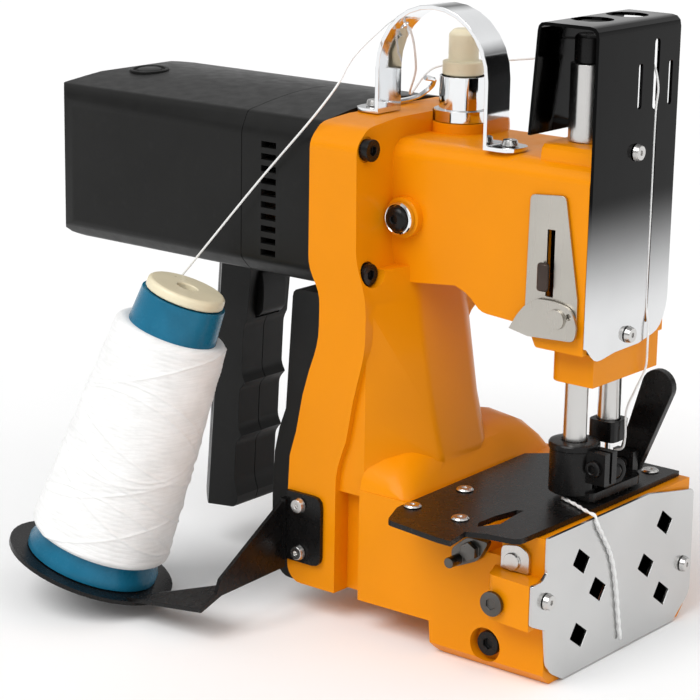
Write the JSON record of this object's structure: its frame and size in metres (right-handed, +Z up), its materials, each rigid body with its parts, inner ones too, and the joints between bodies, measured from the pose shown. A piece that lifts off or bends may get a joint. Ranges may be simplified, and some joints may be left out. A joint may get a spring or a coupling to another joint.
{
  "type": "portable bag closer sewing machine",
  "caption": "Hand-held machine that sews a sack mouth shut: casting with needle head, motor grip, presser foot and leaning thread spool.",
  "frame": {"origin": "middle of the base block's flat underside", "axes": "+X towards the needle end, +Y to the side away from the spool, +Z up"},
  "size_m": [0.2525, 0.1703, 0.2344],
  "materials": {
    "orange_paint": "gloss powder coat",
    "black_plastic": "fine satin moulding",
    "black_metal": "black oxide, satin",
    "chrome": "bright plated",
    "steel": "ground",
    "dark_steel": "oiled",
    "cream_plastic": "moulded",
    "blue_plastic": "moulded",
    "thread": "wound sewing thread",
    "copper": "lacquered winding",
    "rubber": "moulded"
  },
  "bodies": {
    "frame": {"main_casting": "orange_paint", "column_back_cover": "black_plastic", "motor_rear_housing": "black_plastic", "motor_front_housing": "black_plastic", "grip_near_shell": "black_plastic", "grip_far_shell": "black_plastic", "flange_screw_upper": "black_metal", "flange_screw_lower": "black_metal", "presser_cap": "black_metal", "lower_adjuster_screw": "black_metal", "throat_plate": "black_metal", "stand_bracket": "black_metal", "needle_bar_cover": "chrome", "strap_handle": "chrome", "oil_pump_body": "chrome", "thread_guide": "chrome", "access_plug": "steel", "presser_spring": "steel", "presser_sleeve": "steel", "cover_screw_upper": "steel", "cover_screw_lower": "steel", "side_plate": "steel", "throat_plate_screw_1": "steel", "throat_plate_screw_2": "steel", "throat_plate_screw_3": "steel", "throat_plate_screw_4": "steel", "front_plate": "steel", "front_plate_screw_near": "steel", "front_plate_screw_far": "steel", "guide_plate": "steel", "strap_screw_rear": "steel", "strap_screw_front": "steel", "stand_screw_upper": "steel", "stand_screw_lower": "steel", "adjuster_screw": "dark_steel", "cutter_bracket": "dark_steel", "needle_thread": "thread", "stitch_tail": "thread", "motor_stator": "copper", "drive_belt": "rubber"},
    "main_shaft": {"main_shaft": "steel", "main_pulley": "dark_steel"},
    "motor_rotor": {"motor_rotor": "dark_steel"},
    "needle_bar": {"needle_bar": "steel", "needle_clamp": "black_metal", "needle": "chrome", "connecting_rod": "steel"},
    "looper": {"looper": "steel"},
    "feed_dog": {"feed_dog": "steel"},
    "drive_rod": {"drive_rod": "dark_steel"},
    "presser": {"presser_bar": "steel", "presser_foot": "black_metal"},
    "foot_lifter": {"foot_lifter_lever": "black_metal"},
    "trigger": {"trigger": "black_plastic"},
    "oil_pump_cap": {"oil_pump_cap": "cream_plastic"},
    "side_lever": {"side_lever": "steel"},
    "slide_tab": {"slide_tab": "black_metal"},
    "spool": {"spool_cone": "blue_plastic", "thread_package": "thread", "spool_cap": "cream_plastic"}
  },
  "joints": [
    {"name": "main_shaft_turn", "type": "hinge", "parent": "frame", "child": "main_shaft", "pos_m": [-0.06, 0.008, 0.163], "axis": [1, 0, 0], "range_deg": [0, 180]},
    {"name": "motor_rotor_turn", "type": "hinge", "parent": "frame", "child": "motor_rotor", "pos_m": [-0.16, -0.014, 0.157], "axis": [1, 0, 0], "range_deg": [0, 360]},
    {"name": "needle_bar_stroke", "type": "slide", "parent": "frame", "child": "needle_bar", "axis": [0, 0, 1], "range_m": [0, 0.0196]},
    {"name": "looper_swing", "type": "hinge", "parent": "frame", "child": "looper", "pos_m": [0, 0.022, 0.026], "axis": [1, 0, 0], "range_deg": [0, 20]},
    {"name": "feed_dog_advance", "type": "slide", "parent": "frame", "child": "feed_dog", "axis": [0, -1, 0], "range_m": [0, 0.004]},
    {"name": "drive_rod_stroke", "type": "slide", "parent": "frame", "child": "drive_rod", "axis": [0, 0, -1], "range_m": [0, 0.008]},
    {"name": "lifter_lever_turn", "type": "hinge", "parent": "presser", "child": "foot_lifter", "pos_m": [0.0104, 0.028, 0.0644], "axis": [0, 1, 0], "range_deg": [0, 30]},
    {"name": "presser_lift", "type": "slide", "parent": "frame", "child": "presser", "axis": [0, 0, 1], "range_m": [0, 0.008], "stiffness_N_per_m": 1500, "springref_m": -0.004, "deforming": ["presser_spring"]},
    {"name": "trigger_press", "type": "slide", "parent": "frame", "child": "trigger", "axis": [-1, 0, 0], "range_m": [0, 0.004], "stiffness_N_per_m": 800},
    {"name": "oil_pump_press", "type": "slide", "parent": "frame", "child": "oil_pump_cap", "axis": [0, 0, -1], "range_m": [0, 0.005], "stiffness_N_per_m": 500, "springref_m": -0.0005},
    {"name": "side_lever_turn", "type": "hinge", "parent": "frame", "child": "side_lever", "pos_m": [0.012, -0.029, 0.1297], "axis": [0, 1, 0], "range_deg": [0, 15]},
    {"name": "slide_tab_slide", "type": "slide", "parent": "frame", "child": "slide_tab", "axis": [0, 0, 1], "range_m": [0, 0.009]},
    {"name": "spool_turn", "type": "hinge", "parent": "frame", "child": "spool", "pos_m": [-0.161, -0.088, 0.013], "axis": [0.2643, 0.184, 0.9467], "continuous": true}
  ],
  "couplings": [
    {"joint": "main_shaft_turn", "follows": "needle_bar_stroke", "rad_per_m": 160.29},
    {"joint": "motor_rotor_turn", "follows": "needle_bar_stroke", "rad_per_m": 320.57},
    {"joint": "looper_swing", "follows": "needle_bar_stroke", "rad_per_m": 17.809},
    {"joint": "feed_dog_advance", "follows": "needle_bar_stroke", "ratio": 0.20408},
    {"joint": "drive_rod_stroke", "follows": "needle_bar_stroke", "ratio": 0.40816},
    {"joint": "lifter_lever_turn", "follows": "presser_lift", "rad_per_m": 65.45}
  ]
}
